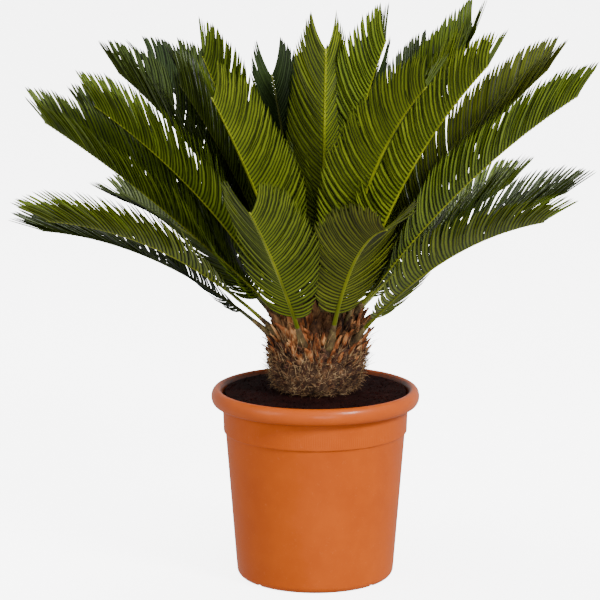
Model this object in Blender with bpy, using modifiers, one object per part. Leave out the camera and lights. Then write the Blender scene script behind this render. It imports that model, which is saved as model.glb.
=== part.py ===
"""A sago palm in a round plastic pot: pot, soil, trunk and one thin solid for each frond.

Metres, +Z up. The origin is the middle of the pot's flat underside. The viewer stands
towards -Y, so a frond that is turned by 0 degrees grows towards the viewer, by 90 degrees
to the right (+X) and by 180 degrees to the back.
"""

import math

import bmesh
import bpy
from mathutils import Vector
from mathutils.bvhtree import BVHTree

# Pot, a moulded 30 cm nursery pot
RIM_RADIUS = 0.1515
POT_HEIGHT = 0.280
FOOT_RADIUS = 0.1045
FOOT_CHAMFER = 0.010
WALL = 0.0028
FLOOR = 0.005
ROLL_HEIGHT = 0.0245
ROLL_WIDTH = 0.017
COLLAR_RADIUS = 0.1350
COLLAR_TAPER = 0.0014
COLLAR_HEIGHT = 0.033
COLLAR_STEP = 0.0016
WALL_TOP_RADIUS = 0.1311
ROLL_TUCK = 0.006
POT_SIDES = 48
NOTCH_TURNS = (48, 132, 228, 312)
NOTCH_SIZE = (0.012, 0.012, 0.009)

# Soil, filled to just under the rim and heaped a little towards the trunk
SOIL_EDGE = 0.2752
SOIL_HEAP = 0.2768
SOIL_RECESS = 0.0015
GAP = 0.0003

# Trunk, a squat barrel of old leaf bases under a dome of papery scales
TRUNK_FOOT_RADIUS = 0.052
TRUNK_RADIUS = 0.070
TRUNK_SHOULDER = 0.3456
TRUNK_TOP = 0.3898
TRUNK_SIDES = 28
TRUNK_FOOT_X = 0.0015
TRUNK_LEAN = 0.02
BED_MARGIN = 0.002
SCALE_RINGS = 5
SCALES_PER_RING = 13
SCALE_WIDTH = 0.024
SCALE_LENGTH = 0.019
SCALE_GROWTH = 0.006
SCALE_DEPTH = 0.0045

# Fronds
CROWN_RADIUS = 0.060
CROWN_BASE = 0.3476
CROWN_RISE = 0.036
BEND_POWER = 1.3
RIB_STEPS = 90
PETIOLE = 0.055
PETIOLE_STEPS = 2
PAIRS = 17
RIB_WIDTH_BASE = 0.0075
RIB_WIDTH_TIP = 0.0035
RIB_THICK_BASE = 0.0050
RIB_THICK_TIP = 0.0016
BLADE_THICK = 0.0011
CLEAR = 0.0006

# Where a rib starts is looked for from this share of it inwards, in coarse and then fine steps
START_FROM = 0.35
START_PROBE = 0.004
START_STEPS = (0.002, 0.0002)

# Leaflets: full length, share of it at the foot and at the tip of the frond, and between
# which parts of the leafy rib they are full
LEAFLET = 0.098
FIRST_SHARE = 0.34
LAST_SHARE = 0.61
FULL_FROM = 0.42
FULL_TO = 0.72
FADE_POWER = 1.6
SWEEP_BASE = 58
SWEEP_TIP = 27
KEEL_BASE = -4
KEEL_OUTER = 29
KEEL_INNER = 46
KEEL_TIER = 0.4
KEEL_REACH = 0.35
KEEL_RISE = 8
KEEL_RISE_FROM = 0.6

# What a leaflet that meets something tries next: a lift (degrees) and a share of its length
TRIES = [(lift, share) for share in (1.0, 0.8, 0.6, 0.42) for lift in (0, 10, 20, -12, 30)]

# One row for each frond: turn (degrees), tier (0 at the crown's edge, 1 at its middle),
# rise (degrees above level at the base), bend (degrees lost to the tip), rib length (m)
# and roll (degrees that both rows of leaflets are turned about the rib)
FRONDS = (
    # outer ring, low and arching
    (-73, 0.15, 45.8, 39, 0.403, 0),
    (-92, 0.03, 41.2, 37, 0.382, 2),
    (-125, 0.12, 44, 34, 0.355, 8),
    (-155, 0.05, 39, 30, 0.390, 0),
    (178, 0.05, 34.5, 28, 0.405, -6),
    (152, 0.05, 38.5, 27, 0.405, 8),
    (130, 0.30, 35, 16, 0.390, 14),
    (101, 0.12, 44.3, 27, 0.380, 4),
    (51, 0.02, 47.3, 33, 0.402, 0),
    (17, 0.03, 62, 50, 0.340, 0),
    (-20, 0.05, 52, 12, 0.315, 0),
    # middle ring
    (-76, 0.45, 46.5, 12, 0.480, 20),
    (-65, 0.50, 57.5, 22, 0.465, 20),
    (-40, 0.54, 66, 12, 0.410, 0),
    (8, 0.45, 83.5, -1, 0.420, 0),
    (35, 0.28, 79.5, 42, 0.450, 0),
    (55, 0.26, 71.5, 27, 0.480, 0),
    (74, 0.40, 55.5, 21, 0.495, -4),
    (108, 0.48, 55.5, 16, 0.490, -6),
    (142, 0.35, 59.5, 22, 0.445, 5),
    (167, 0.38, 58.5, 23, 0.425, 0),
    (-168, 0.35, 58, 25, 0.420, -6),
    (-139, 0.42, 60.5, 36, 0.510, 7),
    (-115, 0.42, 64, 29, 0.468, -4),
    # inner ring, steep
    (-131, 0.62, 62, 17, 0.430, 0),
    (-103, 0.62, 68.5, 14, 0.392, -5),
    (-63, 0.70, 69.5, 4, 0.430, 8),
    (62, 0.66, 86, 18, 0.430, 0),
    (97, 0.70, 71, 14, 0.430, -10),
    (124, 0.62, 60.5, 6, 0.485, 0),
    (140, 0.64, 58.5, 6, 0.432, 0),
    (150, 0.76, 70, 12, 0.385, 0),
    (-155, 0.64, 72, 8, 0.376, 14),
    (-178, 0.78, 82.5, 10, 0.350, 0),
    (150, 0.90, 79.5, 9, 0.360, 0),
    (60, 0.90, 85.5, 4, 0.350, 0),
    # one more on the left, low in the middle ring
    (-96, 0.28, 53, 14, 0.430, 0),
)


def clear_scene():
    """Leaves nothing in the scene but what this script makes."""
    for old in list(bpy.data.objects):
        bpy.data.objects.remove(old, do_unlink=True)


def collection(name):
    made = bpy.data.collections.new(name)
    bpy.context.scene.collection.children.link(made)
    return made


def material(name, colour, roughness, metallic=0.0):
    """One plain Principled material."""
    made = bpy.data.materials.new(name)
    made.use_nodes = True
    shader = made.node_tree.nodes["Principled BSDF"]
    shader.inputs["Base Color"].default_value = (*colour, 1.0)
    shader.inputs["Roughness"].default_value = roughness
    shader.inputs["Metallic"].default_value = metallic
    made.diffuse_color = (*colour, 1.0)
    return made


def add_object(name, mesh, finish, home=None):
    made = bpy.data.objects.new(name, mesh)
    if finish:
        mesh.materials.append(finish)
    (home or parts).objects.link(made)
    return made


def mesh_from(bm, name):
    mesh = bpy.data.meshes.new(name)
    bm.to_mesh(mesh)
    bm.free()
    return mesh


def turned(name, profile, sides, finish, home=None):
    """A solid turned about Z from a profile of (radius, height) points, inner side first."""
    bm = bmesh.new()
    points = [bm.verts.new((radius, 0.0, height)) for radius, height in profile]
    for first, second in zip(points, points[1:]):
        bm.edges.new((first, second))
    made = add_object(name, mesh_from(bm, name), finish, home)
    screw = made.modifiers.new("turn", "SCREW")
    screw.axis = "Z"
    screw.steps = sides
    screw.render_steps = sides
    screw.use_merge_vertices = True
    screw.merge_threshold = 0.00005
    return made


def applied(made):
    """The object with its modifiers worked into its mesh."""
    evaluated = made.evaluated_get(bpy.context.evaluated_depsgraph_get())
    mesh = bpy.data.meshes.new_from_object(evaluated)
    mesh.name = made.name
    made.modifiers.clear()
    made.data = mesh
    return made


def wall_radius(height):
    """The pot's outer wall below its collar: a straight taper down to the foot."""
    foot_wall = FOOT_RADIUS + FOOT_CHAMFER
    top = POT_HEIGHT - ROLL_HEIGHT - COLLAR_HEIGHT
    share = (height - FOOT_CHAMFER) / (top - FOOT_CHAMFER)
    return foot_wall + (WALL_TOP_RADIUS - foot_wall) * share


def inner_radius(height):
    """The pot's inner wall: one taper, a wall's width inside the outer wall."""
    low = wall_radius(FLOOR + 0.002) - WALL
    high = COLLAR_RADIUS - WALL
    share = (height - FLOOR) / (POT_HEIGHT - ROLL_HEIGHT - FLOOR)
    return low + (high - low) * min(share, 1.0)


def build_pot(finish):
    """The pot with its rolled rim, collar band, tapering wall and chamfered foot."""
    tall = ROLL_HEIGHT / 2
    wide = ROLL_WIDTH / 2
    roll_middle = RIM_RADIUS - wide
    roll_height = POT_HEIGHT - tall
    under = POT_HEIGHT - ROLL_HEIGHT
    profile = [(0.0, FLOOR), (inner_radius(FLOOR), FLOOR), (inner_radius(under), under)]
    profile.append((roll_middle - wide, roll_height + 0.3 * tall))
    for degrees in (135, 100, 70, 40, 10, -20, -50, -80):
        angle = math.radians(degrees)
        profile.append((roll_middle + wide * math.cos(angle), roll_height + tall * math.sin(angle)))
    collar_top = under - ROLL_TUCK
    collar_foot = collar_top - COLLAR_HEIGHT
    profile.append((COLLAR_RADIUS, collar_top))
    profile.append((COLLAR_RADIUS - COLLAR_TAPER, collar_foot))
    profile.append((COLLAR_RADIUS - COLLAR_TAPER - COLLAR_STEP, collar_foot - COLLAR_STEP))
    profile.append((wall_radius(FOOT_CHAMFER), FOOT_CHAMFER))
    profile.append((FOOT_RADIUS + FOOT_CHAMFER * 0.62, FOOT_CHAMFER * 0.24))
    profile.append((FOOT_RADIUS, 0.0))
    profile.append((0.0, 0.0))
    pot = turned("pot", profile, POT_SIDES, finish)
    for number, turn in enumerate(NOTCH_TURNS, 1):
        bm = bmesh.new()
        bmesh.ops.create_cube(bm, size=1.0)
        bmesh.ops.scale(bm, vec=NOTCH_SIZE, verts=bm.verts)
        cutter = add_object(f"notch_{number}", mesh_from(bm, "notch"), None, cutters)
        angle = math.radians(turn)
        reach = FOOT_RADIUS + 0.0035
        cutter.location = (reach * math.sin(angle), -reach * math.cos(angle), 0.0)
        cutter.rotation_euler = (0.0, 0.0, angle)
        cutter.hide_render = True
        cutter.display_type = "WIRE"
        cut = pot.modifiers.new(f"notch_{number}", "BOOLEAN")
        cut.operation = "DIFFERENCE"
        cut.solver = "EXACT"
        cut.object = cutter
    return pot


def build_soil(finish):
    """The soil: it fills the pot 0.3 mm clear of its wall, with a bed for the trunk's foot."""
    bed = SOIL_HEAP - SOIL_RECESS
    foot = TRUNK_FOOT_RADIUS + abs(TRUNK_FOOT_X) + BED_MARGIN
    profile = [
        (0.0, bed),
        (foot, bed),
        (foot + 0.001, SOIL_HEAP),
        (foot + 0.020, SOIL_HEAP - 0.0016),
        (foot + 0.042, SOIL_EDGE + 0.0018),
        (inner_radius(SOIL_EDGE) - 0.004, SOIL_EDGE + 0.0004),
        (inner_radius(SOIL_EDGE) - GAP, SOIL_EDGE - 0.002),
        (inner_radius(POT_HEIGHT - ROLL_HEIGHT) - GAP, POT_HEIGHT - ROLL_HEIGHT),
        (inner_radius(FLOOR) - GAP, FLOOR + GAP),
        (0.0, FLOOR + GAP),
    ]
    return turned("soil", profile, POT_SIDES, finish)


def trunk_axis(height):
    """The trunk's middle at a height: it stands a little right of the pot's axis and leans."""
    return Vector((TRUNK_FOOT_X + TRUNK_LEAN * (height - SOIL_HEAP), 0.0, height))


def trunk_profile():
    foot = SOIL_HEAP - SOIL_RECESS + GAP
    side = TRUNK_SHOULDER - foot
    dome = TRUNK_TOP - TRUNK_SHOULDER
    radius = TRUNK_RADIUS
    outline = [
        (0.0, TRUNK_TOP),
        (0.34 * radius, TRUNK_SHOULDER + 0.93 * dome),
        (0.62 * radius, TRUNK_SHOULDER + 0.72 * dome),
        (0.85 * radius, TRUNK_SHOULDER + 0.40 * dome),
        (0.97 * radius, TRUNK_SHOULDER),
        (radius, foot + 0.70 * side),
        (0.985 * radius, foot + 0.42 * side),
        (0.90 * radius, foot + 0.16 * side),
        (TRUNK_FOOT_RADIUS, foot),
        (0.0, foot),
    ]
    return outline


def radius_at(height, outline):
    for (first, upper), (second, lower) in zip(outline, outline[1:]):
        if lower <= height <= upper and upper > lower:
            share = (upper - height) / (upper - lower)
            return first + (second - first) * share
    return 0.0


def leaf_scale(bm, foot, out, up, width, length, depth):
    """One old leaf base: a four sided spike that lies against the trunk and points up."""
    side = out.cross(up).normalized()
    corners = [
        foot - side * width / 2 - out * depth,
        foot + side * width / 2 - out * depth,
        foot + side * width / 2 + out * depth * 0.4 - up * width * 0.2,
        foot - side * width / 2 + out * depth * 0.4 - up * width * 0.2,
    ]
    ring = [bm.verts.new(corner) for corner in corners]
    tip = bm.verts.new(foot + up * length + out * depth * 1.35)
    bm.faces.new(reversed(ring))
    for first, second in zip(ring, ring[1:] + ring[:1]):
        bm.faces.new((first, second, tip))


def build_trunk(finish):
    """The barrel, with rings of old leaf bases joined to it by one union."""
    outline = trunk_profile()
    trunk = turned("trunk", outline, TRUNK_SIDES, finish)
    applied(trunk)
    scales = collection("trunk_scales")
    lowest = outline[-1][1] + 0.007
    highest = TRUNK_SHOULDER + 0.004
    for ring in range(SCALE_RINGS):
        height = lowest + (highest - lowest) * (ring / (SCALE_RINGS - 1)) ** 0.9
        flare = ring / (SCALE_RINGS - 1)
        for place in range(SCALES_PER_RING):
            angle = 2 * math.pi * (place + 0.5 * (ring % 2)) / SCALES_PER_RING
            out = Vector((math.sin(angle), -math.cos(angle), 0.0))
            foot = out * (radius_at(height, outline) - 0.001)
            foot.z = height
            bm = bmesh.new()
            up = Vector((0.0, 0.0, 1.0)) + out * (0.22 - 0.1 * flare)
            length = SCALE_LENGTH + SCALE_GROWTH * flare
            leaf_scale(bm, foot, out, up.normalized(), SCALE_WIDTH, length, SCALE_DEPTH)
            bmesh.ops.recalc_face_normals(bm, faces=bm.faces)
            add_object(f"scale_{ring}_{place}", mesh_from(bm, "scale"), None, scales)
    join = trunk.modifiers.new("scales", "BOOLEAN")
    join.operation = "UNION"
    join.solver = "EXACT"
    join.operand_type = "COLLECTION"
    join.collection = scales
    applied(trunk)
    for scale in list(scales.objects):
        bpy.data.objects.remove(scale, do_unlink=True)
    bpy.data.collections.remove(scales)
    for point in trunk.data.vertices:
        point.co.x += trunk_axis(point.co.z).x
    return trunk


def rib_line(turn, tier, rise, bend, length):
    """Even points along a frond's rib, from inside the crown to its tip."""
    angle = math.radians(turn)
    middle = trunk_axis(CROWN_BASE)
    out = Vector((math.sin(angle), -math.cos(angle), 0.0))
    point = middle + out * CROWN_RADIUS * (1 - tier)
    point.z = CROWN_BASE + CROWN_RISE * tier
    line = [point.copy()]
    step = length / RIB_STEPS
    for number in range(RIB_STEPS):
        share = (number + 0.5) / RIB_STEPS
        climb = math.radians(rise - bend * share**BEND_POWER)
        point = point + (out * math.cos(climb) + Vector((0.0, 0.0, math.sin(climb)))) * step
        line.append(point.copy())
    return line


def rib_frame(line, share):
    """Place, forward, side and upper directions on a rib at a share of its length."""
    exact = min(max(share, 0.0), 1.0) * RIB_STEPS
    number = min(int(exact), RIB_STEPS - 1)
    place = line[number].lerp(line[number + 1], exact - number)
    before = line[max(number - 1, 0)]
    after = line[min(number + 2, RIB_STEPS)]
    forward = (after - before).normalized()
    side = forward.cross(Vector((0.0, 0.0, 1.0))).normalized()
    upper = side.cross(forward).normalized()
    return place, forward, side, upper


def rib_width(share):
    return RIB_WIDTH_BASE + (RIB_WIDTH_TIP - RIB_WIDTH_BASE) * share


def rib_thickness(share):
    return RIB_THICK_TIP + (RIB_THICK_BASE - RIB_THICK_TIP) * (1 - share) ** 2


def leafy(share, start):
    """How far along the leafy part of the rib a place is, from 0 to 1."""
    return (share - start) / (1 - start)


def leaflet_length(along):
    """Short at the foot of the frond, full in its middle, half at its tip."""
    grow = math.sin(min(along / FULL_FROM, 1.0) * math.pi / 2)
    fade = max((along - FULL_TO) / (1.0 - FULL_TO), 0.0) ** FADE_POWER
    return LEAFLET * (FIRST_SHARE + (1.0 - FIRST_SHARE) * grow) * (1.0 - (1.0 - LAST_SHARE) * fade)


def leaflet_sweep(along):
    """Angle between leaflet and rib: wide at the foot, closer at the tip."""
    return math.radians(SWEEP_BASE + (SWEEP_TIP - SWEEP_BASE) * along)


def leaflet_keel(along, tier):
    """How far the two rows of leaflets fold up from flat into a V.

    They fold least at the frond's foot and on the old outer fronds, and most at its tip.
    """
    full = KEEL_OUTER + (KEEL_INNER - KEEL_OUTER) * min(tier / KEEL_TIER, 1.0)
    keel = KEEL_BASE + (full - KEEL_BASE) * min(along / KEEL_REACH, 1.0)
    last = max((along - KEEL_RISE_FROM) / (1.0 - KEEL_RISE_FROM), 0.0)
    return math.radians(keel + KEEL_RISE * last)


def slab(points, thickness):
    """A closed thin prism on a flat polygon, for testing what lies in the way.

    The thickness is given for each corner.
    """
    normal = (points[1] - points[0]).cross(points[2] - points[0]).normalized()
    count = len(points)
    upper = [point + normal * size / 2 for point, size in zip(points, thickness)]
    lower = [point - normal * size / 2 for point, size in zip(points, thickness)]
    faces = [tuple(range(count)), tuple(range(2 * count - 1, count - 1, -1))]
    for first in range(count):
        second = (first + 1) % count
        faces.append((first, first + count, second + count, second))
    return upper + lower, faces


def grown(points, margin):
    """The polygon a margin larger about its middle."""
    middle = sum(points, Vector()) / len(points)
    return [point + (point - middle).normalized() * margin for point in points]


class Obstacles:
    """The slabs of everything placed so far, kept by owner, so that a frond can ask about the others."""

    def __init__(self):
        self.slabs = {}

    def add(self, owner, points, faces):
        self.slabs.setdefault(owner, []).append((points, faces))

    def tree(self, leave_out=()):
        """One tree of all the slabs but those of the owners that are left out."""
        all_points = []
        all_faces = []
        for owner, kept in self.slabs.items():
            if owner in leave_out:
                continue
            for points, faces in kept:
                offset = len(all_points)
                all_points.extend(points)
                all_faces.extend(tuple(corner + offset for corner in face) for face in faces)
        return BVHTree.FromPolygons(all_points, all_faces)


def meets(tree, points, faces):
    return bool(tree.overlap(BVHTree.FromPolygons(points, faces)))


def strip_corners(line, share):
    place, forward, side, upper = rib_frame(line, share)
    half = rib_width(share) / 2
    return place - side * half, place + side * half


def strip_slab(line, first, second, margin):
    left, right = strip_corners(line, first)
    next_left, next_right = strip_corners(line, second)
    corners = grown([left, right, next_right, next_left], margin)
    sizes = [rib_thickness(first) + 2 * margin] * 2 + [rib_thickness(second) + 2 * margin] * 2
    return slab(corners, sizes)


def rib_start(line, length, trunk_tree):
    """The share of the rib at which it comes clear of the trunk, found from outside in."""
    probe = START_PROBE / length
    share = START_FROM
    for step in START_STEPS:
        while share > 0.0:
            points, faces = strip_slab(line, share, share + probe, GAP)
            if meets(trunk_tree, points, faces):
                share += step / length
                break
            share -= step / length
    return max(share, 0.0)


def leaflet_tip(line, tier, roll, share, along, hand, lift, kept):
    """Where a leaflet ends: kept is the share of its length that is left."""
    place, forward, side, upper = rib_frame(line, share)
    cosine, sine = math.cos(math.radians(roll)), math.sin(math.radians(roll))
    side, upper = side * cosine + upper * sine, upper * cosine - side * sine
    sweep = leaflet_sweep(along)
    keel = leaflet_keel(along, tier) + math.radians(lift)
    across = side * hand * math.cos(keel) + upper * math.sin(keel)
    return place + (forward * math.cos(sweep) + across * math.sin(sweep)) * leaflet_length(along) * kept


def stations(start, length):
    """Shares of the rib at which its strip has corners: petiole first, then one per tooth."""
    leaf_start = start + PETIOLE / length
    bare = [start + (leaf_start - start) * number / PETIOLE_STEPS for number in range(PETIOLE_STEPS)]
    return bare + [leaf_start + (1 - leaf_start) * number / PAIRS for number in range(PAIRS + 1)]


def build_frond(name, tier, roll, line, shares, obstacles, finish):
    """A blade of two toothed rows on a tapering rib, each tooth fitted between what is there.

    A tooth stands for a few leaflets, and one that meets something at every try is left out.
    """
    bm = bmesh.new()
    weight = bm.verts.layers.deform.verify()
    left = []
    right = []
    for share in shares:
        for row_points, corner in zip((left, right), strip_corners(line, share)):
            point = bm.verts.new(corner)
            point[weight][0] = rib_thickness(share) / RIB_THICK_BASE
            row_points.append(point)
    for number in range(len(shares) - 1):
        bm.faces.new((left[number], right[number], right[number + 1], left[number + 1]))
    others = obstacles.tree(leave_out=(name,))
    leaf_start = shares[PETIOLE_STEPS]
    for number in range(PETIOLE_STEPS, len(shares) - 1):
        share = (shares[number] + shares[number + 1]) / 2
        along = leafy(share, leaf_start)
        for hand, edge in ((-1, left), (1, right)):
            foot = [edge[number].co, edge[number + 1].co]
            thick = rib_thickness(share)
            for lift, kept in TRIES:
                tip = leaflet_tip(line, tier, roll, share, along, hand, lift, kept)
                corners = grown([*foot, tip], CLEAR)
                sizes = [thick + 2 * CLEAR, thick + 2 * CLEAR, BLADE_THICK + 2 * CLEAR]
                if not meets(others, *slab(corners, sizes)):
                    point = bm.verts.new(tip)
                    point[weight][0] = BLADE_THICK / RIB_THICK_BASE
                    bm.faces.new((edge[number], point, edge[number + 1]))
                    obstacles.add(name, *slab([*foot, tip], [thick, thick, BLADE_THICK]))
                    break
    bmesh.ops.recalc_face_normals(bm, faces=bm.faces)
    frond = add_object(name, mesh_from(bm, name), finish)
    frond.vertex_groups.new(name="thickness")
    shell = frond.modifiers.new("thickness", "SOLIDIFY")
    shell.thickness = RIB_THICK_BASE
    shell.offset = 0.0
    shell.vertex_group = "thickness"
    shell.thickness_vertex_group = 0.0
    return frond


def trunk_slabs(trunk):
    points = [point.co.copy() for point in trunk.data.vertices]
    faces = [tuple(face.vertices) for face in trunk.data.polygons]
    return points, faces


clear_scene()
parts = collection("sago_palm")
cutters = collection("cutters")
pot_plastic = material("pot_plastic", (0.56, 0.13, 0.03), 0.45)
dark_soil = material("dark_soil", (0.012, 0.006, 0.005), 0.95)
dry_bases = material("dry_bases", (0.16, 0.075, 0.035), 0.9)
frond_green = material("frond_green", (0.09, 0.14, 0.012), 0.5)
build_pot(pot_plastic)
build_soil(dark_soil)
trunk = build_trunk(dry_bases)

# All ribs are in the way before the first tooth is placed, so no tooth takes a rib's room
trunk_tree = BVHTree.FromPolygons(*trunk_slabs(trunk))
obstacles = Obstacles()
ribs = []
for number, row in enumerate(FRONDS, 1):
    name = f"frond_{number:02d}"
    turn, tier, rise, bend, length, roll = row
    line = rib_line(turn, tier, rise, bend, length)
    shares = stations(rib_start(line, length, trunk_tree), length)
    for first, second in zip(shares, shares[1:]):
        obstacles.add(name, *strip_slab(line, first, second, 0.0))
    ribs.append((name, tier, roll, line, shares))
obstacles.add("trunk", *trunk_slabs(trunk))
for name, tier, roll, line, shares in ribs:
    build_frond(name, tier, roll, line, shares, obstacles, frond_green)
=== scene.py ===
"""The looks of a sago palm in its pot: fine leaflets, ribs, scaly trunk, soil and moulded pot."""

import math
import random

import bmesh
import bpy
import numpy as np
from mathutils import Matrix, Vector, noise
from mathutils.bvhtree import BVHTree


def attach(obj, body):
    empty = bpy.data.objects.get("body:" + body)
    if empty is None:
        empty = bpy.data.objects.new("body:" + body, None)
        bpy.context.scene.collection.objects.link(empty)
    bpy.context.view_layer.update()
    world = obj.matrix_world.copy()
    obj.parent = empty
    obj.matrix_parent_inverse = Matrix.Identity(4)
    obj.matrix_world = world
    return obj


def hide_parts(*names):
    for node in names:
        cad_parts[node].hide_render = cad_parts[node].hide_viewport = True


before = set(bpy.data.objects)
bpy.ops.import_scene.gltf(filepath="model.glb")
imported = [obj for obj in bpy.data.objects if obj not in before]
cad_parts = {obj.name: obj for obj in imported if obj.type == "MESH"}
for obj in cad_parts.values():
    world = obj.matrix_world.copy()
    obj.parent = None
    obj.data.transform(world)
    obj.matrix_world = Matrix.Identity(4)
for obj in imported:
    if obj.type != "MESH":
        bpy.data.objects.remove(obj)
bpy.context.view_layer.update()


# The studio: a pale floor, a white room and four soft boxes, seen from a little above
# the plant at the distance and angle of the photograph.
VIEWPOINT = (-0.0223, -4.0, 1.1878)
VIEW_TILT = 78.98
VIEW_LENS = 169.0
SENSOR_WIDTH = 36.0
VIEW_REACH = 400.0
LAMP_AIM = (0.0, 0.0, 0.45)
WHITE = (1.0, 1.0, 1.0, 1.0)
ROOM_GLOW = 0.75
FLOOR_SIZE = 120.0
FLOOR_GLOW = 5.5
SOFT_BOXES = (
    ("key_light", (2.3, -2.5, 2.7), 1.2, 245.0),
    ("front_light", (0.5, -3.2, 0.4), 1.4, 30.0),
    ("fill_light", (-2.6, -2.0, 1.5), 2.0, 40.0),
    ("top_light", (-0.6, 1.0, 3.2), 1.6, 110.0),
)

view_data = bpy.data.cameras.new("viewpoint")
view_data.lens = VIEW_LENS
view_data.sensor_width = SENSOR_WIDTH
view_data.clip_end = VIEW_REACH
viewpoint = bpy.data.objects.new("viewpoint", view_data)
viewpoint.location = VIEWPOINT
viewpoint.rotation_euler = (math.radians(VIEW_TILT), 0.0, 0.0)
bpy.context.scene.collection.objects.link(viewpoint)
bpy.context.scene.camera = viewpoint

for lamp_name, place, size, power in SOFT_BOXES:
    lamp_data = bpy.data.lights.new(lamp_name, "AREA")
    lamp_data.shape = "DISK"
    lamp_data.size = size
    lamp_data.energy = power
    lamp = bpy.data.objects.new(lamp_name, lamp_data)
    lamp.location = place
    lamp.rotation_euler = (Vector(LAMP_AIM) - Vector(place)).to_track_quat("-Z", "Y").to_euler()
    bpy.context.scene.collection.objects.link(lamp)

room = bpy.data.worlds.new("white_room")
room.use_nodes = True
room.node_tree.nodes["Background"].inputs["Color"].default_value = WHITE
room.node_tree.nodes["Background"].inputs["Strength"].default_value = ROOM_GLOW
bpy.context.scene.world = room


class Field:
    """One socket of a material. Sums and products of fields and numbers add Math nodes."""

    def __init__(self, tree, socket=None):
        self.tree = tree
        self.socket = socket

    def node(self, kind, settings=None, values=None, output=0, stops=None):
        """Adds a node: its settings first, then its sockets' values or links."""
        made = self.tree.nodes.new(kind)
        for setting, value in (settings or {}).items():
            setattr(made, setting, value)
        if stops:
            ramp = made.color_ramp.elements
            while len(ramp) < len(stops):
                ramp.new(1.0)
            for element, (position, colour) in zip(ramp, stops):
                element.position = position
                element.color = (*colour, 1.0)
        for socket, value in (values or {}).items():
            if isinstance(value, Field):
                self.tree.links.new(value.socket, made.inputs[socket])
            elif isinstance(value, tuple) and len(value) == 3 and made.inputs[socket].type == "RGBA":
                made.inputs[socket].default_value = (*value, 1.0)
            else:
                made.inputs[socket].default_value = value
        return Field(self.tree, made.outputs[output])

    def maths(self, operation, *others):
        """A Math node on this field and the other values, in their order."""
        return self.node("ShaderNodeMath", {"operation": operation}, dict(enumerate((self, *others))))

    def __add__(self, other):
        return self.maths("ADD", other)

    def __sub__(self, other):
        return self.maths("SUBTRACT", other)

    def __rsub__(self, other):
        return self.node("ShaderNodeMath", {"operation": "SUBTRACT"}, {0: other, 1: self})

    def __mul__(self, other):
        return self.maths("MULTIPLY", other)

    __radd__ = __add__
    __rmul__ = __mul__

    def between(self, low, high):
        """0 below low, 1 above high, and even in between."""
        settings = {"clamp": True}
        values = {"Value": self, "From Min": low, "From Max": high}
        return self.node("ShaderNodeMapRange", settings, values)

    def blend(self, first, second):
        """The first colour where this field is 0, the second where it is 1."""
        settings = {"data_type": "RGBA"}
        return self.node("ShaderNodeMix", settings, {0: self, 6: first, 7: second}, output=2)

    def speckle(self, scale, detail=3.0, roughness=0.5, distortion=0.0):
        """Cloudy noise from 0 to 1 at this place, scale in cells a metre."""
        values = {
            "Vector": self,
            "Scale": scale,
            "Detail": detail,
            "Roughness": roughness,
            "Distortion": distortion,
        }
        return self.node("ShaderNodeTexNoise", None, values)


def start_finish(name, **constants):
    """A new material: its shader, and the place on the piece as a field."""
    finish = bpy.data.materials.new(name)
    finish.use_nodes = True
    shader = finish.node_tree.nodes["Principled BSDF"]
    for socket, value in constants.items():
        shader.inputs[socket.replace("_", " ")].default_value = value
    place = Field(finish.node_tree).node("ShaderNodeTexCoord", output="Object")
    return finish, shader, place


def feed(shader, **fields):
    """Links fields to the shader's sockets, named with underscores for spaces."""
    for socket, field in fields.items():
        field.tree.links.new(field.socket, shader.inputs[socket.replace("_", " ")])


def relief(height):
    """Bump from a height field in metres."""
    values = {"Height": height, "Distance": 1.0, "Strength": 1.0}
    return height.node("ShaderNodeBump", None, values, output="Normal")


def add_piece(name, mesh, *finishes):
    """An object at the origin with the mesh and its materials."""
    piece = bpy.data.objects.new(name, mesh)
    for finish in finishes:
        mesh.materials.append(finish)
    bpy.context.scene.collection.objects.link(piece)
    return piece


def mesh_of(bm, name):
    """A mesh from a bmesh, which it frees."""
    mesh = bpy.data.meshes.new(name)
    bm.to_mesh(mesh)
    bm.free()
    return mesh


floor_finish, floor_shader, floor_place = start_finish(
    "pale_floor", Roughness=0.8, Emission_Color=WHITE, Emission_Strength=FLOOR_GLOW)
floor_shade = floor_place.speckle(1.5)
feed(floor_shader, Base_Color=floor_shade.blend((0.86, 0.86, 0.86), (0.89, 0.89, 0.89)))
floor_bm = bmesh.new()
bmesh.ops.create_grid(floor_bm, x_segments=4, y_segments=4, size=FLOOR_SIZE / 2)
floor = add_piece("studio_floor", mesh_of(floor_bm, "studio_floor"), floor_finish)
floor.visible_diffuse = False
floor.visible_glossy = False


# The pot: one injection moulding in terracotta coloured plastic, with a rolled rim, a
# stepped collar band, a straight taper and a rounded foot with four drainage notches.
POT_HEIGHT = 0.280
POT_RIM_RADIUS = 0.1515
POT_ROLL = (0.017, 0.0245)
POT_COLLAR_RADIUS = 0.1350
POT_FOOT_RADIUS = 0.1045
POT_WALL = 0.0028
POT_FLOOR = 0.005
POT_UNDERSIDE = 0.0006
POT_STEPS = 192
POT_SHARP_ANGLE = 32
NOTCH_TURNS = (48, 132, 228, 312)
NOTCH_WIDTH = 0.0115
NOTCH_HEIGHT = 0.0044
NOTCH_DEPTH = 0.013
NOTCH_ROUNDING = 0.0018
NOTCH_OFFSET = 0.004
TERRACOTTA = (0.500, 0.089, 0.0052)
TERRACOTTA_DEEP = (0.405, 0.066, 0.0036)
SCUFF = (0.70, 0.24, 0.09)
# Dust and painted shade on the inner wall above the soil.
POT_DIRT_AND_SHADE = (0.040, 0.016, 0.010)
SOIL_SPLASH = (0.05, 0.022, 0.014)
# Colour of the painted shade in the crease under the rolled rim.
PAINTED_CREASE_SHADE = (0.16, 0.028, 0.003)
FLUTES_A_TURN = 260

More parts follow.
